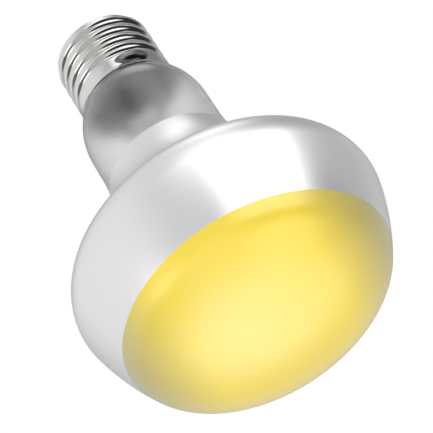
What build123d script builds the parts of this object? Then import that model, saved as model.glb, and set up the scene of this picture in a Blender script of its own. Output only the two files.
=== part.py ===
from build123d import *
import os
from math import asin, atan2, cos, degrees, pi, radians, sin, tan

# Reflector heat lamp: blown bowl, bright lining, tinted face and Edison screw cap.
# The axis is +Z. The middle of the domed face is at the origin and the cap is on top.

# Blown glass, outer surface. A slope is the direction of travel from the middle of
# the face towards the cap: 0 runs straight outwards, 90 up, 180 straight inwards.
bowl_diameter = 80.0
dome_radius = 70.0
dome_slope = 14.0
crown_radius = 41.0
crown_slope = 35.3
knuckle_radius = 10.3
knuckle_slope = 62.0
side_slope = 76.7
shoulder_radius = 10.8
shoulder_slope = 150.4
neck_diameter = 33.8
neck_straight = 8.5
neck_end_slope = 126.0
glass_wall = 0.8

# Tail of the neck that goes up into the cap, with a gap for cement round it.
cement_gap = 1.82
tail_depth = 5.4

# Screw cap, heights counted from its rim.
thread_diameter = 26.2
thread_depth = 1.096
thread_pitch = 3.629
thread_arc = 1.025
first_crest = 7.45
groove_flats = (2, 1)
sheet = 0.28
skirt_height = 3.7
rim_flare = 0.33
rim_flare_height = 1.2
thread_end = 20.4
shell_top = 21.9
shell_bend = 2.5
shell_lip_diameter = 20.0
insulator_base = 18.6
insulator_top = 24.9
insulator_top_diameter = 12.6
insulator_bore = 3.6
contact_diameter = 10.8
contact_thickness = 0.4
eyelet_length = 2.2
eyelet_bore = 1.2
pip_diameter = 5.4
pip_height = 1.1
cement_base = 0.9

# Solder that joins the side lead to the skirt.
solder_turn = 27.0
solder_width = 9.0
solder_height = 4.8
solder_rise = 0.95
solder_level = 2.95
notch_width = 0.8
notch_height = 2.35

# Glass mount inside the neck, heights counted downwards from the rim.
stem_wall = 0.9
stem_tube_diameter = 9.2
stem_tube_end = 9.0
press_start = 12.5
press_end = 20.0
press_width = 11.0
press_thickness = 3.6
exhaust_diameter = 3.2
exhaust_bore = 2.0
exhaust_tip = 16.5
blow_hole = 1.2
rod_diameter = 2.6
rod_length = 15.0
button_diameter = 4.4

# Wires and the burner.
lead_diameter = 0.5
lead_spacing = 5.3
lead_join = 15.0
fuse_sleeve_diameter = 1.9
fuse_sleeve_bore = 0.9
fuse_sleeve_length = 7.0
fuse_lead_offset = 4.6
support_diameter = 0.36
filament_ring_diameter = 18.0
filament_diameter = 1.1
filament_drop = 46.0
filament_opening = 100.0
hook_play = 0.1
support_count = 3

# Clearances.
seat = 0.05
wire_play = 0.04
glass_play = 0.12


def slope_point(slope):
    """Unit direction of travel at a slope in degrees, as radius and height."""
    return cos(radians(slope)), sin(radians(slope))


def arc_step(start, radius, slope_a, slope_b):
    """End of an arc that turns from one slope to the other, left or right."""
    side = 1 if slope_b > slope_a else -1
    c_a, s_a = slope_point(slope_a)
    c_b, s_b = slope_point(slope_b)
    return start[0] + side * radius * (s_b - s_a), start[1] - side * radius * (c_b - c_a)


# Radii that follow from the sizes above.
dome_edge = arc_step((0, 0), dome_radius, 0, dome_slope)
crown_edge = arc_step(dome_edge, crown_radius, dome_slope, crown_slope)
knuckle_edge = arc_step(crown_edge, knuckle_radius, crown_slope, knuckle_slope)
sin_side = sin(radians(side_slope))
shoulder_reach = shoulder_radius * (1 - sin_side)
side_radius = (bowl_diameter / 2 - knuckle_edge[0] - shoulder_reach) / (sin_side - sin(radians(knuckle_slope)))
side_edge = arc_step(knuckle_edge, side_radius, knuckle_slope, side_slope)
shoulder_edge = arc_step(side_edge, shoulder_radius, side_slope, shoulder_slope)
flare_radius = (shoulder_edge[0] - neck_diameter / 2) / (1 - sin(radians(shoulder_slope)))
flare_edge = arc_step(shoulder_edge, flare_radius, shoulder_slope, 90)
neck_edge = (flare_edge[0], flare_edge[1] + neck_straight)

skirt_radius = thread_diameter / 2
rim_radius = skirt_radius + rim_flare
throat_radius = rim_radius - sheet - seat
tail_radius = skirt_radius - sheet - cement_gap
neck_end_radius = (neck_edge[0] - throat_radius) / (1 - sin(radians(neck_end_slope)))
throat = arc_step(neck_edge, neck_end_radius, 90, neck_end_slope)
rim_z = throat[1]

tail_lean = radians(neck_end_slope - 90)
tail_run = (throat_radius - tail_radius) / sin(tail_lean)

# Each stretch of the outer surface: arc radius (None for straight), length, slopes.
OUTLINE = [
    (dome_radius, 0, 0, dome_slope),
    (crown_radius, 0, dome_slope, crown_slope),
    (knuckle_radius, 0, crown_slope, knuckle_slope),
    (side_radius, 0, knuckle_slope, side_slope),
    (shoulder_radius, 0, side_slope, shoulder_slope),
    (flare_radius, 0, shoulder_slope, 90),
    (None, neck_straight, 90, 90),
    (neck_end_radius, 0, 90, neck_end_slope),
    (None, tail_run, neck_end_slope, neck_end_slope),
]


def at(radius, height):
    """Point of the half section, radius outwards and height up."""
    return Vector(radius, 0, height)


def walk(stretches, depth, start):
    """Edges along stretches of the outline, a depth inside the outer surface."""
    edges = []
    here = start
    for radius, length, slope_a, slope_b in stretches:
        if radius is None:
            c, s = slope_point(slope_a)
            end = (here[0] + c * length, here[1] + s * length)
            edges.append(Edge.make_line(at(*here), at(*end)))
        else:
            own = radius - depth if slope_b > slope_a else radius + depth
            middle = arc_step(here, own, slope_a, (slope_a + slope_b) / 2)
            end = arc_step(here, own, slope_a, slope_b)
            edges.append(Edge.make_three_point_arc(at(*here), at(*middle), at(*end)))
        here = end
    return edges, here


def closed_revolve(edges):
    """Solid of revolution about the lamp axis from edges that close a half section."""
    return revolve(Face(Wire(edges)), Axis.Z, 360)


def ring(points):
    """Solid of revolution from the corners of a half section."""
    return revolve(Face(Wire.make_polygon([at(r, z) for r, z in points], close=True)), Axis.Z, 360)


def link(first, last):
    """Straight edge between two points of the half section."""
    return Edge.make_line(at(*first), at(*last))


def glass_envelope():
    """Face, bowl, flare and neck blown as one wall, open at the tail."""
    outer, outer_end = walk(OUTLINE, 0, (0, 0))
    inner, inner_end = walk(OUTLINE, glass_wall, (0, glass_wall))
    tail_top = rim_z + tail_depth
    outer_top = (outer_end[0], tail_top)
    inner_top = (inner_end[0], tail_top)
    ends = [link(outer_end, outer_top), link(outer_top, inner_top), link(inner_end, inner_top)]
    return closed_revolve(outer + inner + ends + [link((0, 0), (0, glass_wall))])


# Rolled thread. The flank leans this far from the axis, where crest and root arcs meet.
flank = degrees(atan2(thread_pitch / 2, 2 * thread_arc - thread_depth))
crest_axis = thread_diameter / 2 - thread_arc
root_axis = crest_axis + 2 * thread_arc - thread_depth
start_z = rim_z + first_crest - thread_pitch / 2


def groove_section(depth, flats):
    """Half of the groove's outline, from above the crest down to the root.

    The crest and root arcs are drawn with short flats that touch them, which keeps
    the mesh light. A depth into the sheet shrinks the crest arc and grows the root arc.
    """
    step = radians(flank / flats)
    crest = (thread_arc - depth) / cos(step / 2)
    root = (thread_arc + depth) / cos(step / 2)
    half = [(index + 0.5) * step for index in range(flats)]
    points = [(crest_axis + crest * cos(a), thread_pitch / 2 - crest * sin(a)) for a in half]
    points += [(root_axis - root * cos(a), root * sin(a)) for a in reversed(half)]
    rise = sheet / 2
    top = (points[0][0] + rise, points[0][1] + rise / tan(step))
    return [(top[0] + sheet, top[1]), top] + points[1:]


def groove(depth, flats):
    """Right-hand helical cutter for one side of the sheet."""
    half = groove_section(depth, flats)
    outline = half + [(r, -z) for r, z in reversed(half)]
    face = Face(Wire.make_polygon([at(r, z) for r, z in outline], close=True))
    path = Helix(thread_pitch, rim_z + thread_end - start_z, thread_diameter / 2)
    return Pos(0, 0, start_z) * sweep(face, path, is_frenet=True)


def shell_side(depth, flats):
    """Solid form of one side of the sheet, from flared rim to turned-in end."""
    radius = skirt_radius - depth
    flare_z = rim_z + rim_flare_height
    flare_mid = at(radius + rim_flare / 4, rim_z + rim_flare_height / 2)
    flare = closed_revolve(
        [
            link((0, rim_z), (radius + rim_flare, rim_z)),
            Edge.make_three_point_arc(at(radius + rim_flare, rim_z), flare_mid, at(radius, flare_z)),
            link((radius, flare_z), (0, flare_z)),
            link((0, flare_z), (0, rim_z)),
        ]
    )
    bend = shell_bend - depth
    bend_z = rim_z + shell_top - shell_bend
    end_z = bend_z + bend
    bend_mid = at(radius - bend * (1 - cos(pi / 4)), bend_z + bend * sin(pi / 4))
    rounded = closed_revolve(
        [
            link((0, rim_z), (rim_radius, rim_z)),
            link((rim_radius, rim_z), (rim_radius, bend_z)),
            link((rim_radius, bend_z), (radius, bend_z)),
            Edge.make_three_point_arc(at(radius, bend_z), bend_mid, at(radius - bend, end_z)),
            link((radius - bend, end_z), (0, end_z)),
            link((0, end_z), (0, rim_z)),
        ]
    )
    core = disc(radius, flare_z, rim_z + shell_top + thread_pitch) - groove(depth, flats)
    return (core & rounded) + flare


def screw_shell():
    """Rolled sheet: flared rim, plain skirt, right-hand thread and turned-in lip."""
    shell = shell_side(0, groove_flats[0]) - shell_side(sheet, groove_flats[1])
    shell -= disc(shell_lip_diameter / 2, rim_z + shell_top - 2 * sheet, rim_z + shell_top + sheet)
    notch = Box(4 * sheet + 2 * rim_flare, notch_width, notch_height)
    notch = Pos(skirt_radius, 0, rim_z + notch_height / 2) * notch
    return shell - notch.rotate(Axis.Z, solder_turn)


def disc(radius, low, high, bore=0.0):
    """Upright cylinder between two heights, with an optional bore."""
    body = Cylinder(radius, high - low, align=(Align.CENTER, Align.CENTER, Align.MIN))
    body = Pos(0, 0, low) * body
    return body - disc(bore, low - 1, high + 1) if bore else body


def wire(points, diameter):
    """Round wire in straight runs with sharp bends between them."""
    path = Polyline(*points)
    section = Plane(origin=path @ 0, z_dir=path % 0) * Circle(diameter / 2)
    return sweep(section, path, transition=Transition.RIGHT)


# Heights of the mount and the cap, from the rim.
tube_radius = stem_tube_diameter / 2
tube_bore = tube_radius - stem_wall
flange_low = rim_z + tail_depth + seat
flange_top = flange_low + stem_wall
press_low = rim_z - press_end
tube_low = rim_z - stem_tube_end
join_z = rim_z - lead_join
lead_y = lead_spacing / 2
wire_hole = lead_diameter / 2 + wire_play
filament_z = rim_z - filament_drop
filament_ring = filament_ring_diameter / 2
cap_top = rim_z + insulator_top + contact_thickness + pip_height


def glass_stem():
    """Flare, tube and flat press of the mount, with a hole for each wire."""
    reach = tail_radius - glass_wall - tube_radius
    neck_r = tube_radius + reach
    low = flange_low - reach
    mid = reach * (1 - cos(pi / 4))
    mid_top = (reach + stem_wall) * (1 - cos(pi / 4))
    flange = tail_radius - glass_play
    funnel = ring(
        [
            (flange, flange_low),
            (neck_r, flange_low),
            (tube_radius + mid, flange_low - mid),
            (tube_radius, low),
            (tube_radius, tube_low),
            (tube_bore, tube_low),
            (tube_bore, low),
            (tube_bore + mid_top, flange_top - mid_top),
            (neck_r, flange_top),
            (flange, flange_top),
        ]
    )
    start = rim_z - press_start
    bottom = (Align.CENTER, Align.CENTER, Align.MIN)
    shoulder = Pos(0, 0, start) * Cone(press_width / 2, tube_radius, tube_low - start, align=bottom)
    wedge = Polygon(
        (-press_thickness / 2, start),
        (press_thickness / 2, start),
        (tube_radius, tube_low),
        (-tube_radius, tube_low),
        align=None,
    )
    shoulder &= extrude(Plane.XZ * wedge, press_width, both=True)
    flat = disc(press_width / 2, press_low, start)
    flat &= Pos(0, 0, press_low) * Box(press_thickness, 2 * press_width, press_end, align=bottom)
    stem = funnel + shoulder + flat
    for side in (-1, 1):
        stem -= Pos(0, side * lead_y, 0) * disc(wire_hole, press_low - 1, tube_low + 1)
    vent_z = tube_low - blow_hole
    stem -= disc(blow_hole / 2, vent_z, tube_low + 1)
    vent = Cylinder(blow_hole / 2, stem_tube_diameter, align=bottom)
    return stem - Pos(0, 0, vent_z) * Rot(0, 90, 0) * vent


def exhaust_tube():
    """Pumping tube inside the stem, drawn to a closed tip inside the cap."""
    radius = exhaust_diameter / 2
    bore = exhaust_bore / 2
    top = rim_z + exhaust_tip
    taper = 2 * exhaust_diameter
    points = [
        (radius, tube_low + seat),
        (radius, top - taper),
        (radius * 0.3, top),
        (0, top),
        (0, top - exhaust_diameter),
        (bore, top - taper - bore),
        (bore, tube_low + seat),
    ]
    return ring(points)


def arbor_rod():
    """Glass rod under the press, melted to a button that grips the supports."""
    radius = rod_diameter / 2
    button = button_diameter / 2
    bevel = button * cos(pi / 4)
    low = press_low - rod_length
    rod = ring(
        [
            (0, low - button),
            (bevel, low - bevel),
            (button, low),
            (radius, low + button),
            (radius, press_low - seat),
            (0, press_low - seat),
        ]
    )
    for path in support_paths():
        rod -= wire(path[:2], support_diameter + 2 * wire_play)
    return rod


def turned(point, angle):
    """Point of the half section turned about the axis by degrees."""
    return Vector(*point).rotate(Axis.Z, angle)


def burner_points():
    """Corners of the burner: its two ends and the hooks between them."""
    span = 360 - filament_opening
    steps = support_count + 1
    angles = [span * (index / steps - 0.5) for index in range(steps + 1)]
    return [turned((filament_ring, 0, filament_z), angle) for angle in angles]


def support_paths():
    """Runs of each burner support, from inside the button to under the coil."""
    button_z = press_low - rod_length
    turn = (360 - filament_opening) / (support_count + 1)
    corner = filament_diameter / 2 / cos(radians(turn / 2))
    clear = corner + hook_play + support_diameter / 2
    paths = []
    for index in range(support_count):
        angle = turn * (index + 1) - (360 - filament_opening) / 2
        corners = [
            (button_diameter / 5, 0, button_z - button_diameter / 10),
            (filament_ring - clear, 0, filament_z + 2 * clear),
            (filament_ring - clear, 0, filament_z - clear),
            (filament_ring + clear, 0, filament_z - clear),
            (filament_ring + clear, 0, filament_z + clear),
        ]
        paths.append([turned(point, angle) for point in corners])
    return paths


def support_wire(index):
    """One support: a straight arm that ends in a hook under the coil."""
    return wire(support_paths()[index], support_diameter)


def filament():
    """Envelope of the coiled burner, in straight runs from hook to hook."""
    return wire(burner_points(), filament_diameter)


def inner_lead(side):
    """Wire from the press down to one end of the coil."""
    points = burner_points() if side > 0 else burner_points()[::-1]
    end = points[-1] + (points[-1] - points[-2]).normalized() * (lead_diameter / 2 + wire_play)
    return wire(
        [
            Vector(0, side * lead_y, join_z - seat),
            Vector(0, side * lead_y, press_low - 3 * lead_diameter),
            Vector(end.X, end.Y, filament_z + 3 * filament_diameter),
            Vector(end.X, end.Y, filament_z - filament_diameter / 2),
        ],
        lead_diameter,
    )


def centre_lead_points():
    """Runs of the wire from the press to the centre contact."""
    return [
        Vector(0, -lead_y, join_z),
        Vector(0, -lead_y, flange_low),
        Vector(0, -fuse_lead_offset, flange_low + 3),
        Vector(0, -fuse_lead_offset, flange_low + 3 + fuse_sleeve_length + 2),
        Vector(0, 0, rim_z + insulator_base + 2),
        Vector(0, 0, cap_top - pip_height * 0.5),
    ]


def side_lead_points():
    """Runs of the wire from the press over the tail and out under the rim notch."""
    over = flange_top + lead_diameter
    beside = tail_radius + lead_diameter / 2 + wire_play
    beside_z = rim_z + tail_run * cos(tail_lean) + lead_diameter / 2
    exit_z = rim_z + notch_height - lead_diameter / 2 - 2 * wire_play
    inside = skirt_radius - sheet - lead_diameter / 2 - wire_play
    outside = skirt_radius + lead_diameter / 2 + wire_play
    runs = [(beside, over), (beside, beside_z), (inside, exit_z), (outside, exit_z)]
    last = (outside, exit_z + 3 * lead_diameter)
    return [
        Vector(0, lead_y, join_z),
        Vector(0, lead_y, over),
    ] + [turned(at(*run), solder_turn) for run in runs + [last]]


def outer_lead_centre():
    """Copper wire to the centre contact."""
    return wire(centre_lead_points(), lead_diameter)


def outer_lead_side():
    """Copper wire to the skirt."""
    return wire(side_lead_points(), lead_diameter)


def fuse_sleeve():
    """Glass sleeve round the fused stretch of the centre wire."""
    low = flange_low + 4
    sleeve = disc(fuse_sleeve_diameter / 2, low, low + fuse_sleeve_length, fuse_sleeve_bore / 2)
    return Pos(0, -fuse_lead_offset, 0) * sleeve


def capping_cement():
    """Ring of cement between the tail of the glass and the skirt."""
    outer = skirt_radius - sheet - seat
    low = rim_z + cement_base
    high = rim_z + skirt_height - seat
    lean = cos(tail_lean)
    cone_low = throat_radius - cement_base * sin(tail_lean) / lean
    cone_high = tail_radius
    cone_top = rim_z + tail_run * lean
    body = ring(
        [
            (cone_low + seat / lean, low),
            (outer, low),
            (outer, high),
            (cone_high + seat, high),
            (cone_high + seat, cone_top),
        ]
    )
    width = lead_diameter + 2 * wire_play
    slot_z = rim_z + notch_height - width - wire_play
    slot = Box(outer, width, tail_depth, align=(Align.MIN, Align.CENTER, Align.MIN))
    slot = Pos(0, 0, slot_z) * slot
    return body - slot.rotate(Axis.Z, solder_turn)


def cap_insulator():
    """Moulded glass cone that holds the centre contact in the shell's end."""
    inside = thread_diameter / 2 - thread_depth - sheet - glass_play
    low = rim_z + insulator_base
    lip_low = rim_z + shell_top - sheet - seat
    lip_high = rim_z + shell_top
    lip = shell_lip_diameter / 2 - seat
    top = rim_z + insulator_top
    shoulder = shell_top - sheet - seat - thread_end
    points = [
        (insulator_bore / 2, low + 3),
        (inside - 3, low),
        (inside, low),
        (inside, lip_low - shoulder),
        (inside - shoulder, lip_low),
        (lip, lip_low),
        (lip, lip_high + sheet),
        (insulator_top_diameter / 2, top),
        (insulator_bore / 2, top),
    ]
    return ring(points)


def centre_contact():
    """Contact plate with the eyelet that lines the insulator's bore."""
    low = rim_z + insulator_top + seat
    high = low + contact_thickness - seat
    plate = disc(contact_diameter / 2, low, high)
    eyelet = disc(insulator_bore / 2 - seat, low - eyelet_length, low)
    return plate + eyelet - disc(eyelet_bore / 2, low - eyelet_length - 1, high + 1)


def contact_solder():
    """Domed pip on the centre contact."""
    low = rim_z + insulator_top + contact_thickness + seat
    height = cap_top - low
    radius = (pip_diameter**2 / 4 + height**2) / (2 * height)
    pip = Pos(0, 0, cap_top - radius) * Sphere(radius)
    pip &= disc(pip_diameter, low, cap_top + 1)
    return pip - disc(wire_hole, low - 1, cap_top - pip_height * 0.5 + wire_play)


def side_solder():
    """Oval mound of solder over the side wire, just above the rim."""
    sink = solder_rise
    mound = Sphere(1)
    mound = scale(mound, by=(solder_rise + sink, solder_width / 2, solder_height / 2))
    mound = Pos(skirt_radius - sink, 0, rim_z + solder_level) * mound
    mound = mound.rotate(Axis.Z, solder_turn)
    mound -= disc(skirt_radius + wire_play, rim_z - 1, rim_z + skirt_height + solder_height)
    return mound - wire(side_lead_points()[-3:], lead_diameter + 2 * wire_play)


def main():
    """Write one file for each piece."""
    os.makedirs("parts", exist_ok=True)
    pieces = {
        "glass_envelope": glass_envelope(),
        "screw_shell": screw_shell(),
        "cap_insulator": cap_insulator(),
        "centre_contact": centre_contact(),
        "contact_solder": contact_solder(),
        "side_solder": side_solder(),
        "capping_cement": capping_cement(),
        "glass_stem": glass_stem(),
        "exhaust_tube": exhaust_tube(),
        "arbor_rod": arbor_rod(),
        "outer_lead_centre": outer_lead_centre(),
        "outer_lead_side": outer_lead_side(),
        "inner_lead_left": inner_lead(-1),
        "inner_lead_right": inner_lead(1),
        "fuse_sleeve": fuse_sleeve(),
        "filament": filament(),
    }
    for index in range(support_count):
        pieces[f"support_wire_{index + 1}"] = support_wire(index)
    for name, piece in pieces.items():
        export_step(piece, f"parts/{name}.step")
    print("rim at", round(rim_z, 2), "overall length", round(cap_top, 2))


main()
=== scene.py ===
import math
import bmesh
import bpy
import numpy as np
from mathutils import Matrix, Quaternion, Vector


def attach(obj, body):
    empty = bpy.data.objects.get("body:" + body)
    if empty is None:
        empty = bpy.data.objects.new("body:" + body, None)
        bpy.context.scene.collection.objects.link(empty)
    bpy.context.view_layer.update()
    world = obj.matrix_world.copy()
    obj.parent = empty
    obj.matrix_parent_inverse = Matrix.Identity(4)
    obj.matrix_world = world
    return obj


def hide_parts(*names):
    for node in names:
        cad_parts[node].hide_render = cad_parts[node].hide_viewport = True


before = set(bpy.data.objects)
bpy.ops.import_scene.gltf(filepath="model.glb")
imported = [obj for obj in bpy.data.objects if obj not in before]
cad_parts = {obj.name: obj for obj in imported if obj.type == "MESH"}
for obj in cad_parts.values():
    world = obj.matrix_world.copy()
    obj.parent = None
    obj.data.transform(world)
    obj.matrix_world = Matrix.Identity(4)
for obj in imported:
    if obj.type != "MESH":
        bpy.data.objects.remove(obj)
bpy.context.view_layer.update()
mm = 0.001  # every shape below is worked out in millimetres and written in metres
fullTurn = 2 * np.pi
white = (1.0, 1.0, 1.0, 1.0)


def hexToLinear(code):
    # sRGB hex to the linear values that shaders take: the curve's straight foot, then its power
    parts = [int(code[i:i + 2], 16) / 255 for i in (1, 3, 5)]
    linear = [c / 12.92 if c <= 0.04045 else ((c + 0.055) / 1.055) ** 2.4 for c in parts]
    return tuple(linear) + (1.0,)


def addNode(tree, kind, settings=None, links=None):
    # settings go to sockets by name or number, or to the node itself where it has no such socket
    node = tree.nodes.new(kind)
    for name, value in (settings or {}).items():
        if isinstance(name, int) or name in node.inputs:
            node.inputs[name].default_value = value
        else:
            setattr(node, name, value)
    for name, source in (links or {}).items():
        tree.links.new(source, node.inputs[name])
    return node


def startMaterial(name):
    material = bpy.data.materials.new(name)
    material.use_nodes = True
    material.node_tree.nodes.clear()
    return material, material.node_tree


def endMaterial(tree, shader):
    addNode(tree, "ShaderNodeOutputMaterial", links={"Surface": shader.outputs[0]})


def objectCoords(tree):
    return addNode(tree, "ShaderNodeTexCoord").outputs["Object"]


def noiseBump(tree, coords, grain):
    # grain: width of one noise cell and height of the bump in mm, and its strength
    cellMm, heightMm, strength = grain
    noise = addNode(tree, "ShaderNodeTexNoise", {"Scale": 1 / (cellMm * mm), "Detail": 3.0},
                    {"Vector": coords})
    settings = {"Strength": strength, "Distance": heightMm * mm}
    bump = addNode(tree, "ShaderNodeBump", settings, {"Height": noise.outputs["Fac"]})
    return bump.outputs["Normal"]


def gridMesh(name, points, closeRows, closeColumns, materials, faceSlots=None):
    # points is rows by columns by xyz in mm; closeRows joins the last row to the first.
    # faceSlots gives each row of faces its material
    rows, columns = points.shape[:2]
    r = np.arange(rows if closeRows else rows - 1)
    c = np.arange(columns if closeColumns else columns - 1)
    a, b = np.meshgrid(r, c, indexing="ij")
    aNext, bNext = (a + 1) % rows, (b + 1) % columns
    corners = [a * columns + b, a * columns + bNext, aNext * columns + bNext, aNext * columns + b]
    mesh = bpy.data.meshes.new(name)
    mesh.from_pydata((points.reshape(-1, 3) * mm).tolist(), [], np.stack(corners, -1).reshape(-1, 4).tolist())
    for material in materials:
        mesh.materials.append(material)
    if faceSlots is not None:
        mesh.polygons.foreach_set("material_index", np.repeat(faceSlots, columns).astype(np.int32))
    mesh.polygons.foreach_set("use_smooth", np.ones(len(mesh.polygons), bool))
    mesh.update()
    return mesh


def mergePoles(mesh, gapMm=0.0005):
    # rows on the axis are one point each, and faces point outwards
    work = bmesh.new()
    work.from_mesh(mesh)
    bmesh.ops.remove_doubles(work, verts=work.verts, dist=gapMm * mm)
    bmesh.ops.recalc_face_normals(work, faces=work.faces)
    work.to_mesh(mesh)
    work.free()


def addPiece(name, mesh, replaced):
    piece = bpy.data.objects.new(name, mesh)
    bpy.context.collection.objects.link(piece)
    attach(piece, "root")
    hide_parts(*replaced)
    return piece


def spin(profile, turns):
    # surface of revolution: point (r, z) of the profile at angle t is (r cos t, r sin t, z)
    t = np.linspace(0, fullTurn, turns, endpoint=False)
    r, z = profile[:, :1], profile[:, 1:]
    return np.stack([r * np.cos(t), r * np.sin(t), z + 0 * t], -1)


print("helpers ready")

# Glass outline: the slope is the direction of travel from the middle of the face to the cap,
# 0 straight outwards, 90 up, 180 straight inwards. Each stretch is an arc between two slopes.
glass = {
    "wall": 0.8,
    "domeRadius": 70.0, "domeSlope": 14.0,
    "crownRadius": 41.0, "crownSlope": 35.3,
    "knuckleRadius": 10.3, "knuckleSlope": 62.0,
    "tintEdgeSlope": 63.8, "sideSlope": 76.7,
    "bowlDiameter": 80.0,
    "shoulderRadius": 10.8, "shoulderSlope": 150.4,
    "mirrorEdgeSlope": 101.0,
    "neckDiameter": 33.8, "neckStraight": 8.5, "neckEndSlope": 126.0,
    "tailDiameter": 22.0, "tailDepth": 5.4,
    "pointStepMm": 0.8, "leastSteps": 4, "tailSteps": 7, "turns": 192,
}
# Screw cap: heights are counted from its rim. The sheet is flared at the rim and bent in at the top
cap = {
    "threadDiameter": 26.2, "threadDepth": 1.096, "pitch": 3.629, "arc": 1.025, "firstCrest": 7.45,
    "sheet": 0.28, "rimFlare": 0.33, "rimFlareHeight": 1.2, "runInLow": 3.3, "runInHigh": 5.2,
    "runOutLow": 18.9, "runOutHigh": 20.6, "top": 21.1, "bend": 2.5, "lipDiameter": 20.0, "seat": 0.05,
    "turns": 300, "outerRows": 230, "innerRows": 40, "flareRows": 8, "bendRows": 15, "flatRows": 2,
}
tintSlot, silverSlot, clearSlot, frostedSlot = range(4)  # material slots of the glass


def sinOf(slope):
    return math.sin(math.radians(slope))


def cosOf(slope):
    return math.cos(math.radians(slope))


def arcEnd(start, radius, slopeA, slopeB):
    # moving along an arc, r changes by side R (sin b - sin a) and z by -side R (cos b - cos a)
    side = 1 if slopeB > slopeA else -1
    r = start[0] + side * radius * (sinOf(slopeB) - sinOf(slopeA))
    z = start[1] - side * radius * (cosOf(slopeB) - cosOf(slopeA))
    return r, z


def arcPoints(start, radius, slopeA, slopeB):
    # the same arc in points about one step apart
    count = max(glass["leastSteps"], int(abs(math.radians(slopeB - slopeA)) * radius / glass["pointStepMm"]))
    s = np.radians(np.linspace(slopeA, slopeB, count + 1)[1:])
    side = 1 if slopeB > slopeA else -1
    r = start[0] + side * radius * (np.sin(s) - sinOf(slopeA))
    z = start[1] - side * radius * (np.cos(s) - cosOf(slopeA))
    return np.stack([r, z], -1)


def linePoints(start, length, slope):
    # a straight stretch, start + t (cos slope, sin slope), in points about one step apart
    count = max(glass["leastSteps"], int(length / glass["pointStepMm"]))
    t = np.linspace(0, length, count + 1)[1:, None]
    return np.array([start]) + t * np.array([[cosOf(slope), sinOf(slope)]])


def glassStretches():
    # the side and flare radii follow from the bowl and neck diameters
    g = glass
    here = arcEnd((0, 0), g["domeRadius"], 0, g["domeSlope"])
    here = arcEnd(here, g["crownRadius"], g["domeSlope"], g["crownSlope"])
    here = arcEnd(here, g["knuckleRadius"], g["crownSlope"], g["knuckleSlope"])
    reach = g["bowlDiameter"] / 2 - here[0] - g["shoulderRadius"] * (1 - sinOf(g["sideSlope"]))
    sideRadius = reach / (sinOf(g["sideSlope"]) - sinOf(g["knuckleSlope"]))
    here = arcEnd(here, sideRadius, g["knuckleSlope"], g["sideSlope"])
    here = arcEnd(here, g["shoulderRadius"], g["sideSlope"], g["shoulderSlope"])
    neckRadius = g["neckDiameter"] / 2
    flareRadius = (here[0] - neckRadius) / (1 - sinOf(g["shoulderSlope"]))
    throat = cap["threadDiameter"] / 2 + cap["rimFlare"] - cap["sheet"] - cap["seat"]
    endRadius = (neckRadius - throat) / (1 - sinOf(g["neckEndSlope"]))
    tailRun = (throat - g["tailDiameter"] / 2) / sinOf(g["neckEndSlope"] - 90)
    # radius or None for straight, length of a straight, slopes at its two ends, finish
    return [
        (g["domeRadius"], 0, 0, g["domeSlope"], tintSlot),
        (g["crownRadius"], 0, g["domeSlope"], g["crownSlope"], tintSlot),
        (g["knuckleRadius"], 0, g["crownSlope"], g["knuckleSlope"], tintSlot),
        (sideRadius, 0, g["knuckleSlope"], g["tintEdgeSlope"], tintSlot),
        (sideRadius, 0, g["tintEdgeSlope"], g["sideSlope"], silverSlot),
        (g["shoulderRadius"], 0, g["sideSlope"], g["shoulderSlope"], silverSlot),
        (flareRadius, 0, g["shoulderSlope"], g["mirrorEdgeSlope"], silverSlot),
        (flareRadius, 0, g["mirrorEdgeSlope"], 90, clearSlot),
        (None, g["neckStraight"], 90, 90, clearSlot),
        (endRadius, 0, 90, g["neckEndSlope"], clearSlot),
        (None, tailRun, g["neckEndSlope"], g["neckEndSlope"], clearSlot),
    ]


def glassProfile(depth):
    # the outline at a depth into the wall: left arcs lose the depth, right arcs gain it.
    # finish holds the material slot of the row of faces before each point but the first
    here, points, finish, ends = (0.0, depth), [np.array([[0.0, depth]])], [], []
    for radius, length, slopeA, slopeB, slot in glassStretches():
        if radius is None:
            new = linePoints(here, length, slopeA)
        else:
            own = radius - depth if slopeB > slopeA else radius + depth
            new = arcPoints(here, own, slopeA, slopeB)
        points.append(new)
        finish.append(np.full(len(new), slot))
        here = tuple(new[-1])
        ends.append(here)
    return np.concatenate(points), np.concatenate(finish), ends


outerGlass, outerFinish, glassEnds = glassProfile(0)
rim = glassEnds[-2][1]  # height of the cap's rim, where the neck's last arc meets the straight tail
print("glass outline worked out, rim at", round(rim, 2), "mm")

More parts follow.
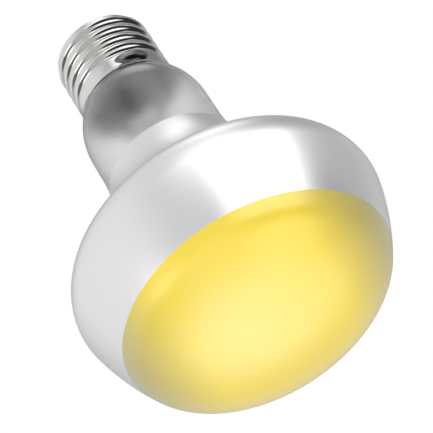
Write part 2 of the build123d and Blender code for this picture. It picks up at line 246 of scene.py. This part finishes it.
# Materials: patterns read Object coordinates. Each grain is a noise cell and a bump height in mm,
# and the bump's strength; spread is how far the roughness wanders to either side.
finishes = {
    "tint": {
        # the second and third colours, with their places, are a painted highlight off the middle of the face
        # and painted shade at its two sides
        "gold": "#fbde2b", "paintedHighlight": "#fce470", "paintedShade": "#b3aa70",
        "paintedHighlightAt": (14.0, -7.0, 0.0), "paintedHighlightReach": 30.0, "paintedShadeFrom": 15.0, "paintedShadeTo": 36.5,
        "rough": 0.3, "coatIor": 1.5, "coatRough": 0.28, "grain": (9, 0.02, 0.1),
    },
    "silver": {"light": "#e2e2e2", "metal": 0.72, "rough": 0.34, "grain": (0.6, 0.004, 0.15)},
    "neck": {"colour": "#f6f6f6", "ior": 1.52, "roughOut": 0.02, "roughIn": 0.36, "grain": (12, 0.03, 0.1)},
    "stem": {"colour": "#f0f0f0", "ior": 1.52, "rough": 0.03, "grain": (12, 0.03, 0.1)},
    "nickel": {"colour": "#d6d5d3", "rough": 0.12, "spread": 0.06, "grain": (0.35, 0.003, 0.2)},
    "solder": {"colour": "#77787b", "rough": 0.18, "spread": 0.08, "grain": (1.4, 0.06, 0.35)},
    "blackGlass": {"colour": "#0d0d10", "rough": 0.1, "grain": (2.5, 0.05, 0.4)},
    "brass": {"colour": "#c9b27a", "rough": 0.28, "spread": 0.06, "grain": (0.5, 0.01, 0.3)},
    "cement": {"dark": (0.35, "#8f897c"), "light": (0.65, "#c3bcae"), "patch": 1.8, "rough": 0.9,
               "grain": (0.5, 0.15, 0.8)},
    "wire": {"colour": "#b9b4ab", "rough": 0.25, "spread": 0.06, "grain": (0.3, 0.004, 0.3)},
    "tungsten": {"colour": "#5c5c60", "rough": 0.45, "spread": 0.06, "grain": (0.1, 0.003, 0.4)},
}


def tintMaterial():
    # yellow lamp lacquer on blown glass: a satin gloss, with a painted highlight that makes it paler off the
    # middle and painted shade that makes it duller at two sides
    f = finishes["tint"]
    material, tree = startMaterial("yellow_lacquer_on_blown_glass")
    coords = objectCoords(tree)
    smooth = {"interpolation_type": "SMOOTHSTEP"}
    # the painted highlight is 1 at its centre and 0 at its reach from there
    centre = [place * mm for place in f["paintedHighlightAt"]]
    away = addNode(tree, "ShaderNodeVectorMath", {"operation": "DISTANCE", 1: centre}, {0: coords})
    paintedHighlight = addNode(tree, "ShaderNodeMapRange", {**smooth, "From Min": f["paintedHighlightReach"] * mm, "From Max": 0.0},
                   {"Value": away.outputs["Value"]})
    # painted shade grows with the distance to either side
    axes = addNode(tree, "ShaderNodeSeparateXYZ", links={0: coords})
    across = addNode(tree, "ShaderNodeMath", {"operation": "ABSOLUTE"}, {0: axes.outputs["Y"]})
    paintedShade = addNode(tree, "ShaderNodeMapRange",
                   {**smooth, "From Min": f["paintedShadeFrom"] * mm, "From Max": f["paintedShadeTo"] * mm},
                   {"Value": across.outputs[0]})
    # a colour mix node has its factor at 0, its two colours at 6 and 7, and its colour result at 2
    # the gold with the painted highlight mixed in, then the painted shade over it
    highlightedGold = addNode(tree, "ShaderNodeMix",
                     {"data_type": "RGBA", 6: hexToLinear(f["gold"]), 7: hexToLinear(f["paintedHighlight"])},
                     {0: paintedHighlight.outputs[0]})
    colour = addNode(tree, "ShaderNodeMix", {"data_type": "RGBA", 7: hexToLinear(f["paintedShade"])},
                     {0: paintedShade.outputs[0], 6: highlightedGold.outputs[2]})
    shader = addNode(tree, "ShaderNodeBsdfPrincipled",
                     {"Roughness": f["rough"], "Coat Weight": 1.0, "Coat IOR": f["coatIor"],
                      "Coat Roughness": f["coatRough"]},
                     {"Base Color": colour.outputs[2], "Normal": noiseBump(tree, coords, f["grain"])})
    endMaterial(tree, shader)
    return material


def silverMaterial():
    # aluminium film on glass with a satin outside: soft wide highlights and no sharp image
    f = finishes["silver"]
    material, tree = startMaterial("aluminised_satin_glass")
    shader = addNode(tree, "ShaderNodeBsdfPrincipled",
                     {"Metallic": f["metal"], "Base Color": hexToLinear(f["light"]), "Roughness": f["rough"]},
                     {"Normal": noiseBump(tree, objectCoords(tree), f["grain"])})
    endMaterial(tree, shader)
    return material


def glassMaterial(name, f, rough):
    # clear glass, faintly wavy from the blowing or the drawing
    material, tree = startMaterial(name)
    shader = addNode(tree, "ShaderNodeBsdfPrincipled",
                     {"Base Color": hexToLinear(f["colour"]), "Transmission Weight": 1.0, "IOR": f["ior"],
                      "Roughness": rough},
                     {"Normal": noiseBump(tree, objectCoords(tree), f["grain"])})
    endMaterial(tree, shader)
    return material


def metalMaterial(name, f):
    # a bare or plated metal: one colour, fine grain, and a roughness that wanders over patches
    material, tree = startMaterial(name)
    coords = objectCoords(tree)
    grainsPerPatch = 6
    noise = addNode(tree, "ShaderNodeTexNoise",
                    {"Scale": 1 / (f["grain"][0] * grainsPerPatch * mm), "Detail": 2.0}, {"Vector": coords})
    rough = addNode(tree, "ShaderNodeMapRange",
                    {"To Min": f["rough"] - f["spread"], "To Max": f["rough"] + f["spread"]},
                    {"Value": noise.outputs["Fac"]})
    shader = addNode(tree, "ShaderNodeBsdfPrincipled",
                     {"Metallic": 1.0, "Base Color": hexToLinear(f["colour"])},
                     {"Roughness": rough.outputs["Result"], "Normal": noiseBump(tree, coords, f["grain"])})
    endMaterial(tree, shader)
    return material


def blackGlassMaterial():
    # black cap glass, pressed hot: deep gloss over a slightly wavy face
    f = finishes["blackGlass"]
    material, tree = startMaterial("pressed_black_glass")
    shader = addNode(tree, "ShaderNodeBsdfPrincipled",
                     {"Base Color": hexToLinear(f["colour"]), "Roughness": f["rough"]},
                     {"Normal": noiseBump(tree, objectCoords(tree), f["grain"])})
    endMaterial(tree, shader)
    return material


def cementMaterial():
    # baked capping cement: dull, gritty and uneven in colour
    f = finishes["cement"]
    material, tree = startMaterial("baked_capping_cement")
    coords = objectCoords(tree)
    noise = addNode(tree, "ShaderNodeTexNoise", {"Scale": 1 / (f["patch"] * mm), "Detail": 4.0},
                    {"Vector": coords})
    ramp = addNode(tree, "ShaderNodeValToRGB", links={"Fac": noise.outputs["Fac"]})
    for element, (place, code) in zip(ramp.color_ramp.elements, (f["dark"], f["light"])):
        element.position = place
        element.color = hexToLinear(code)
    shader = addNode(tree, "ShaderNodeBsdfPrincipled", {"Roughness": f["rough"]},
                     {"Base Color": ramp.outputs["Color"], "Normal": noiseBump(tree, coords, f["grain"])})
    endMaterial(tree, shader)
    return material


tintFilm = tintMaterial()
silverFilm = silverMaterial()
neckOutside = glassMaterial("blown_soda_glass", finishes["neck"], finishes["neck"]["roughOut"])
neckInside = glassMaterial("blown_soda_glass_frosted_inside", finishes["neck"], finishes["neck"]["roughIn"])
stemGlass = glassMaterial("drawn_lead_glass", finishes["stem"], finishes["stem"]["rough"])
nickel = metalMaterial("rolled_nickel_plated_brass", finishes["nickel"])
solderMetal = metalMaterial("soft_solder", finishes["solder"])
brass = metalMaterial("pressed_brass", finishes["brass"])
wireMetal = metalMaterial("drawn_nickel_wire", finishes["wire"])
tungsten = metalMaterial("coiled_tungsten", finishes["tungsten"])
blackGlass = blackGlassMaterial()
cement = cementMaterial()
print("materials ready")


def tailPoints(start):
    # straight up from the end of an outline to the top of the tail
    steps = glass["tailSteps"]
    heights = np.linspace(start[1], rim + glass["tailDepth"], steps + 1)[1:]
    return np.stack([np.full(steps, start[0]), heights], -1)


def buildGlass():
    # outer outline up, tail edge, inner outline down, spun about the axis as one closed wall
    innerGlass, innerFinish, innerEnds = glassProfile(glass["wall"])
    outer = np.concatenate([outerGlass, tailPoints(outerGlass[-1])])
    inner = np.concatenate([innerGlass, tailPoints(innerGlass[-1])])
    profile = np.concatenate([outer, inner[::-1]])
    profile[0, 0] = profile[-1, 0] = 0.0
    tail = np.full(glass["tailSteps"], clearSlot)
    innerSlots = np.concatenate([innerFinish, tail])[::-1]
    # clear stretches are smooth outside and frosted inside
    innerSlots = np.where(innerSlots == clearSlot, frostedSlot, innerSlots)
    slots = np.concatenate([outerFinish, tail, [clearSlot], innerSlots])
    mesh = gridMesh("glass_envelope_fine", spin(profile, glass["turns"]), False, True,
                    [tintFilm, silverFilm, neckOutside, neckInside], slots)
    mergePoles(mesh)
    return addPiece("glass_bulb", mesh, ["glass_envelope"])


def smoothStep(x, low, high):
    # 0 below low, 1 above high, and 3 t^2 - 2 t^3 at share t of the way between
    t = np.clip((x - low) / (high - low), 0, 1)
    return t * t * (3 - 2 * t)


def threadDrop(angle, height, depth):
    # how far the rolled thread lies below its crest. The crest climbs one pitch a turn, a crest arc and
    # a root arc meet on the flank, and the depth fades to nothing at both ends of the thread
    c = cap
    least = 1e-9  # keeps the roots real past the end of each arc
    turns = (height - c["firstCrest"]) / c["pitch"] - angle / fullTurn
    fromCrest = np.abs(turns - np.round(turns)) * c["pitch"]
    crestArc, rootArc = c["arc"] - depth, c["arc"] + depth
    flank = math.atan2(c["pitch"] / 2, 2 * c["arc"] - c["threadDepth"])
    onCrest = crestArc - np.sqrt(np.maximum(crestArc ** 2 - fromCrest ** 2, least))
    fromRoot = c["pitch"] / 2 - fromCrest
    onRoot = c["threadDepth"] - rootArc + np.sqrt(np.maximum(rootArc ** 2 - fromRoot ** 2, least))
    drop = np.where(fromCrest < crestArc * math.sin(flank), onCrest, onRoot)
    runIn = smoothStep(height, c["runInLow"], c["runInHigh"])
    return drop * runIn * (1 - smoothStep(height, c["runOutLow"], c["runOutHigh"]))


def shellSide(depth, rows, angles):
    # plain form of one side of the sheet (flare, straight, bend, flat end), less the thread's drop
    c = cap
    radius, bend = c["threadDiameter"] / 2 - depth, c["bend"] - depth
    bendZ = c["top"] - c["bend"]
    flare = np.linspace(0, c["rimFlareHeight"], c["flareRows"] + 1)[:-1]
    flareR = radius + c["rimFlare"] * (1 - flare / c["rimFlareHeight"]) ** 2
    straight = np.linspace(c["rimFlareHeight"], bendZ, rows)
    t = np.linspace(0, np.pi / 2, c["bendRows"] + 1)[1:]
    bendR, bendH = radius - bend * (1 - np.cos(t)), bendZ + bend * np.sin(t)
    flatR = np.linspace(radius - bend, c["lipDiameter"] / 2, c["flatRows"] + 1)[1:]
    r = np.concatenate([flareR, np.full(rows, radius), bendR, flatR])
    h = np.concatenate([flare, straight, bendH, np.full(c["flatRows"], bendZ + bend)])
    drop = threadDrop(angles[None, :], h[:, None], depth)
    drop[-c["flatRows"]:] = 0
    full = r[:, None] - drop
    return np.stack([full * np.cos(angles), full * np.sin(angles), rim + h[:, None] + 0 * full], -1)


def buildShell():
    # both sides of the sheet on one closed grid
    angles = np.linspace(0, fullTurn, cap["turns"], endpoint=False)
    outer = shellSide(0, cap["outerRows"], angles)
    inner = shellSide(cap["sheet"], cap["innerRows"], angles)[::-1]
    mesh = gridMesh("screw_shell_fine", np.concatenate([outer, inner]), True, True, [nickel])
    mergePoles(mesh)
    return addPiece("threaded_shell", mesh, ["screw_shell"])


print("building the glass and the cap")
glassBulb = buildGlass()
buildShell()

# Solder on the skirt: where it lies round the cap (degrees) and over the rim, its size, how full its
# dome is, and its unevenness. Its first layer lies a gap off the sheet and its last one is sunk in it
solder = {
    "turn": 27.0, "level": 2.35, "width": 9.0, "height": 3.9, "rise": 1.0, "gap": 0.02, "sink": 0.15,
    "fullness": 0.6, "twoLobes": 0.05, "twoLobesTurn": 0.6, "threeLobes": 0.03, "lean": 0.08,
    "rings": 28, "spokes": 72,
}


def buildMound():
    # an oval dome over the skirt: height rise (1 - v^2)^fullness at share v of the way to its oval edge,
    # with a slow wobble, bent round the skirt's cylinder; the last rows turn under into the sheet
    s = solder
    radius = cap["threadDiameter"] / 2 + s["gap"]
    v = np.linspace(0, 1, s["rings"])[:, None]
    a = np.linspace(0, fullTurn, s["spokes"], endpoint=False)[None, :]
    wobble = 1 + s["twoLobes"] * np.cos(2 * a + s["twoLobesTurn"]) + s["threeLobes"] * np.sin(3 * a)
    across = v * np.cos(a) * s["width"] / 2 * wobble
    up = v * np.sin(a) * s["height"] / 2 * wobble
    high = s["rise"] * (1 - v ** 2) ** s["fullness"] * (1 + s["lean"] * np.cos(a) * v)
    angle = across / radius + math.radians(s["turn"])
    r = radius + high
    under = radius - s["sink"]
    z = rim + s["level"] + up + 0 * r
    top = np.stack([r * np.cos(angle), r * np.sin(angle), z], -1)
    bottom = np.stack([under * np.cos(angle), under * np.sin(angle), z], -1)
    points = np.concatenate([top, bottom[::-1]])
    mesh = gridMesh("solder_mound_fine", points, False, True, [solderMetal])
    mergePoles(mesh)
    return addPiece("solder_mound", mesh, ["side_solder"])


def rounded(corners, radius):
    # closed outline with each corner replaced by a parabola that starts about a radius before it,
    # but takes no more than a share of either edge
    mostOfEdge, steps = 0.4, 5
    points = np.array(corners, float)
    before = np.roll(points, 1, 0) - points
    after = np.roll(points, -1, 0) - points
    lengthB = np.linalg.norm(before, axis=1, keepdims=True)
    lengthA = np.linalg.norm(after, axis=1, keepdims=True)
    start = points + before / lengthB * np.minimum(radius, lengthB * mostOfEdge)
    end = points + after / lengthA * np.minimum(radius, lengthA * mostOfEdge)
    t = np.linspace(0, 1, steps)[None, :, None]
    curve = (1 - t) ** 2 * start[:, None] + 2 * t * (1 - t) * points[:, None] + t ** 2 * end[:, None]
    return curve.reshape(-1, 2)


def turnedPiece(name, corners, own, material, replaced):
    # a turned ring: corners over the rim, rounded and spun about the axis
    outline = rounded([(r, rim + z) for r, z in corners], own["edge"])
    mesh = gridMesh(name + "_fine", spin(outline, own["turns"]), True, True, [material])
    mergePoles(mesh)
    return addPiece(name, mesh, replaced)


insulator = {
    "base": 18.6, "top": 24.9, "topDiameter": 12.6, "bore": 3.6, "recess": 3, "play": 0.12,
    "edge": 0.35, "turns": 128,
}
contact = {
    "diameter": 10.8, "thickness": 0.4, "eyeletLength": 2.2, "eyeletBore": 1.2, "edge": 0.15, "turns": 128,
}
contactTop = insulator["top"] + contact["thickness"]


def buildInsulator():
    # sits in the shell under its lip and tapers to the contact; its foot is hollowed by the recess
    i = insulator
    wall = cap["threadDiameter"] / 2 - cap["threadDepth"] - cap["sheet"] - i["play"]
    lipLow = cap["top"] - cap["sheet"] - cap["seat"]
    lipRadius = cap["lipDiameter"] / 2 - cap["seat"]
    corner = cap["bend"] - 2 * cap["sheet"]
    bore = i["bore"] / 2
    corners = [
        (bore, i["base"] + i["recess"]), (wall - i["recess"], i["base"]), (wall, i["base"]),
        (wall, lipLow - corner), (wall - corner, lipLow), (lipRadius, lipLow),
        (lipRadius, cap["top"] + cap["sheet"]), (i["topDiameter"] / 2, i["top"]), (bore, i["top"]),
    ]
    return turnedPiece("black_insulator", corners, i, blackGlass, ["cap_insulator"])


def buildContact():
    # plate on the insulator, with an eyelet that goes down into its bore
    low = insulator["top"] + cap["seat"]
    eyelet = insulator["bore"] / 2 - cap["seat"]
    foot = low - contact["eyeletLength"]
    hole, edge = contact["eyeletBore"] / 2, contact["diameter"] / 2
    corners = [
        (hole, foot), (eyelet, foot), (eyelet, low), (edge, low), (edge, contactTop), (hole, contactTop),
    ]
    return turnedPiece("contact_plate", corners, contact, brass, ["centre_contact"])


contactPip = {
    "diameter": 5.4, "height": 1.1, "fullness": 0.8, "threeLobes": 0.02, "lean": 0.04, "leanTurn": 0.8,
    "rings": 24, "spokes": 64,
}


def buildContactPip():
    # a round dome: height (1 - v^2)^fullness at share v of the way to its edge, slightly lobed and leaning
    p = contactPip
    base = contactTop + cap["seat"]
    height = p["height"] - cap["seat"]
    v = np.linspace(0, 1, p["rings"])[:, None]
    a = np.linspace(0, fullTurn, p["spokes"], endpoint=False)[None, :]
    r = p["diameter"] / 2 * v * (1 + p["threeLobes"] * np.sin(3 * a))
    z = rim + base + height * (1 - v ** 2) ** p["fullness"] * (1 - p["lean"] * v * np.cos(a + p["leanTurn"]))
    top = np.stack([r * np.cos(a), r * np.sin(a), z + 0 * r], -1)
    bottom = np.stack([r * np.cos(a), r * np.sin(a), np.full_like(r, rim + base)], -1)
    points = np.concatenate([top, bottom[::-1]])
    mesh = gridMesh("contact_pip_fine", points, False, True, [solderMetal])
    mergePoles(mesh)
    return addPiece("contact_pip", mesh, ["contact_solder"])


def tube(path, radius, sides):
    # a round section carried along a path: point + R (cos a side + sin a other), where the frame at
    # each point is turned from the last one
    anySide = [0.31, 0.47, 0.83]  # a direction that the path doesn't start in
    along = np.gradient(path, axis=0)
    along /= np.linalg.norm(along, axis=1, keepdims=True)
    side = np.zeros_like(path)
    side[0] = np.cross(along[0], anySide)
    for i in range(1, len(path)):
        side[i] = side[i - 1] - along[i] * np.dot(side[i - 1], along[i])
    side /= np.linalg.norm(side, axis=1, keepdims=True)
    other = np.cross(along, side)
    a = np.linspace(0, fullTurn, sides, endpoint=False)[None, :, None]
    rings = path[:, None] + radius * (np.cos(a) * side[:, None] + np.sin(a) * other[:, None])
    ends = np.repeat(path[[0, -1], None], sides, axis=1)
    return np.concatenate([ends[:1], rings, ends[1:]])


# Burner: a coil of fine wire in straight runs from hook to hook round an open ring
burner = {
    "ring": 18.0, "coil": 1.1, "drop": 46.0, "opening": 100.0, "hooks": 3,
    "wire": 0.16, "turnPitch": 0.3, "pointsPerTurn": 12, "sides": 6,
}


def buildFilament():
    # at s along the runs, the wire lies at centre + R (cos p outward + sin p up), p one turn a pitch
    b = burner
    steps = b["hooks"] + 1
    a = np.radians((360 - b["opening"]) * (np.arange(steps + 1) / steps - 0.5))
    ring = b["ring"] / 2
    corners = np.stack([ring * np.cos(a), ring * np.sin(a), np.full(steps + 1, rim - b["drop"])], -1)
    length = np.concatenate([[0], np.cumsum(np.linalg.norm(np.diff(corners, axis=0), axis=1))])
    turns = int(length[-1] / b["turnPitch"])
    s = np.linspace(0, length[-1], turns * b["pointsPerTurn"])
    centre = np.stack([np.interp(s, length, corners[:, k]) for k in range(3)], -1)
    outward = centre * [1, 1, 0]
    outward /= np.linalg.norm(outward, axis=1, keepdims=True)
    phase = (fullTurn * s / b["turnPitch"])[:, None]
    radius = b["coil"] / 2 - b["wire"] / 2
    path = centre + radius * (np.cos(phase) * outward + np.sin(phase) * np.array([0, 0, 1.0]))
    points = tube(path, b["wire"] / 2, b["sides"])
    mesh = gridMesh("filament_fine", points, False, True, [tungsten])
    mergePoles(mesh)
    return addPiece("filament_coil", mesh, ["filament"])


print("building the small pieces")
buildMound()
buildInsulator()
buildContact()
buildContactPip()
buildFilament()

# the nodes that stay: cement, glass, and wire for the leads and the supports
nodeFinish = {
    "capping_cement": cement,
    "glass_stem": stemGlass,
    "exhaust_tube": stemGlass,
    "arbor_rod": stemGlass,
    "fuse_sleeve": stemGlass,
}
for name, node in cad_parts.items():
    if not node.hide_render:
        for slot in node.material_slots:
            slot.material = nodeFinish.get(name, wireMetal)
print("nodes finished")

# Stage, in metres and watts. The first soft box only shows in the gloss of the glass, as its wide
# highlight, and the second lights everything from below and shows in nothing
stage = {
    "floorSize": 6.0, "paper": "#ececec", "paperLift": 0.22, "white": 1.0, "ambient": 0.8, "aimHeight": 0.055,
    "softBoxes": [
        {"toward": (0.71, 0.66, 0.02), "distance": 0.8, "size": 0.84, "watts": 6.0, "onGlass": True},
        {"toward": (0.5, -0.2, -0.85), "distance": 0.9, "size": 0.8, "watts": 2.0, "onGlass": False},
    ],
}
# what glossy surfaces mirror: a grey room with white and black cards round the lamp
studio = {
    "base": 0.62,
    "cards": [
        # azimuth from +X, elevation, inner and outer half-angle in degrees, strength
        (0, 90, 22, 50, 0.8),
        (106, 56, 14, 28, 0.28),
        (80, 74, 2, 16, 2.0),
        (30, 44, 6, 24, 1.5),
        (12, 20, 4, 22, 1.5),
        (-76, 20, 28, 64, 1.0),
        (-80, -44, 14, 30, 0.16),
        (-56, -26, 6, 18, 2.6),
        (180, 48, 14, 36, 0.34),
        (40, -8, 28, 40, 0.02),
        (95, -20, 24, 36, 0.03),
        (110, 16, 8, 26, 0.44),
        (84, -64, 12, 24, 2.0),
        (180, -60, 16, 40, 2.2),
    ],
}


def buildFloor():
    # shown is 1 for a camera ray that meets the upper side. To all else the floor is clear, so that the
    # lamp can be seen from below
    material, tree = startMaterial("pale_paper_floor")
    path = addNode(tree, "ShaderNodeLightPath")
    geometry = addNode(tree, "ShaderNodeNewGeometry")
    above = addNode(tree, "ShaderNodeMath", {"operation": "SUBTRACT", 0: 1.0},
                    {1: geometry.outputs["Backfacing"]})
    shown = addNode(tree, "ShaderNodeMath", {"operation": "MULTIPLY"},
                    {0: path.outputs["Is Camera Ray"], 1: above.outputs[0]})
    clear = addNode(tree, "ShaderNodeBsdfTransparent")
    paper = addNode(tree, "ShaderNodeBsdfPrincipled",
                    {"Base Color": hexToLinear(stage["paper"]), "Roughness": 1.0, "Specular IOR Level": 0.0,
                     "Emission Color": white, "Emission Strength": stage["paperLift"]})
    mix = addNode(tree, "ShaderNodeMixShader",
                  links={0: shown.outputs[0], 1: clear.outputs[0], 2: paper.outputs[0]})
    endMaterial(tree, mix)
    half = stage["floorSize"] / 2 / mm
    corners = np.array([[[-half, -half, 0], [half, -half, 0]], [[-half, half, 0], [half, half, 0]]], float)
    floor = bpy.data.objects.new("floor", gridMesh("floor", corners, False, False, [material]))
    bpy.context.collection.objects.link(floor)


def addCard(tree, direction, level, card):
    # a round card over the level so far: full inside its inner half-angle, gone outside its outer one
    azimuth, elevation, inner, outer, strength = card
    a, e = math.radians(azimuth), math.radians(elevation)
    toward = (math.cos(e) * math.cos(a), math.cos(e) * math.sin(a), math.sin(e))
    near = addNode(tree, "ShaderNodeVectorMath", {"operation": "DOT_PRODUCT", 1: toward}, {0: direction})
    share = addNode(tree, "ShaderNodeMapRange",
                    {"interpolation_type": "SMOOTHSTEP", "From Min": cosOf(outer), "From Max": cosOf(inner)},
                    {"Value": near.outputs["Value"]})
    return addNode(tree, "ShaderNodeMix", {3: strength}, {0: share.outputs[0], 2: level.outputs[0]})


def buildWorld():
    # white to the camera and through glass, the studio to glossy rays, a plain level to the rest
    world = bpy.data.worlds.new("studio")
    bpy.context.scene.world = world
    world.use_nodes = True
    tree = world.node_tree
    tree.nodes.clear()
    path = addNode(tree, "ShaderNodeLightPath")
    seen = addNode(tree, "ShaderNodeMath", {"operation": "MAXIMUM"},
                   {0: path.outputs["Is Camera Ray"], 1: path.outputs["Is Transmission Ray"]})
    direction = addNode(tree, "ShaderNodeTexCoord").outputs["Generated"]
    level = addNode(tree, "ShaderNodeValue")
    level.outputs[0].default_value = studio["base"]
    for card in studio["cards"]:
        level = addCard(tree, direction, level, card)
    backdrop = addNode(tree, "ShaderNodeBackground", {"Color": white, "Strength": stage["white"]})
    glossy = addNode(tree, "ShaderNodeBackground", {"Color": white}, {"Strength": level.outputs[0]})
    plain = addNode(tree, "ShaderNodeBackground", {"Color": white, "Strength": stage["ambient"]})
    lit = addNode(tree, "ShaderNodeMixShader",
                  links={0: path.outputs["Is Glossy Ray"], 1: plain.outputs[0], 2: glossy.outputs[0]})
    both = addNode(tree, "ShaderNodeMixShader",
                   links={0: seen.outputs[0], 1: lit.outputs[0], 2: backdrop.outputs[0]})
    addNode(tree, "ShaderNodeOutputWorld", links={"Surface": both.outputs[0]})


def buildLamps():
    # square area lamps that look at the middle of the bulb
    middle = Vector((0, 0, stage["aimHeight"]))
    glassOnly = bpy.data.collections.new("lit_glass")
    glassOnly.objects.link(glassBulb)
    for number, box in enumerate(stage["softBoxes"]):
        light = bpy.data.lights.new(f"soft_box_{number + 1}", "AREA")
        light.shape, light.size, light.energy = "SQUARE", box["size"], box["watts"]
        lamp = bpy.data.objects.new(light.name, light)
        lamp.location = middle + Vector(box["toward"]).normalized() * box["distance"]
        lamp.rotation_euler = (middle - lamp.location).to_track_quat("-Z", "Y").to_euler()
        bpy.context.collection.objects.link(lamp)
        if box["onGlass"]:
            lamp.light_linking.receiver_collection = glassOnly
            lamp.visible_diffuse = False
        else:
            lamp.visible_glossy = False


# camera fitted to the photograph: place and target in mm, roll in degrees, clip in metres
view = {
    "place": (382.95, 0.0, -269.11), "target": (0.0, 2.26, 42.87), "roll": 32.497,
    "focalPixels": 2045.9, "imagePixels": 433, "sensorMm": 36.0, "clip": (0.01, 20.0),
}


def buildCamera():
    lens = bpy.data.cameras.new("camera")
    lens.sensor_width = view["sensorMm"]
    lens.lens = view["focalPixels"] / view["imagePixels"] * view["sensorMm"]
    lens.clip_start, lens.clip_end = view["clip"]
    camera = bpy.data.objects.new("camera", lens)
    camera.location = Vector(view["place"]) * mm
    look = (Vector(view["target"]) - Vector(view["place"])).to_track_quat("-Z", "Y")
    camera.rotation_mode = "QUATERNION"
    camera.rotation_quaternion = look @ Quaternion((0, 0, 1), -math.radians(view["roll"]))
    bpy.context.collection.objects.link(camera)
    bpy.context.scene.camera = camera


buildFloor()
buildWorld()
buildLamps()
buildCamera()
bpy.context.scene.view_settings.view_transform = "Standard"
print("stage and camera ready")
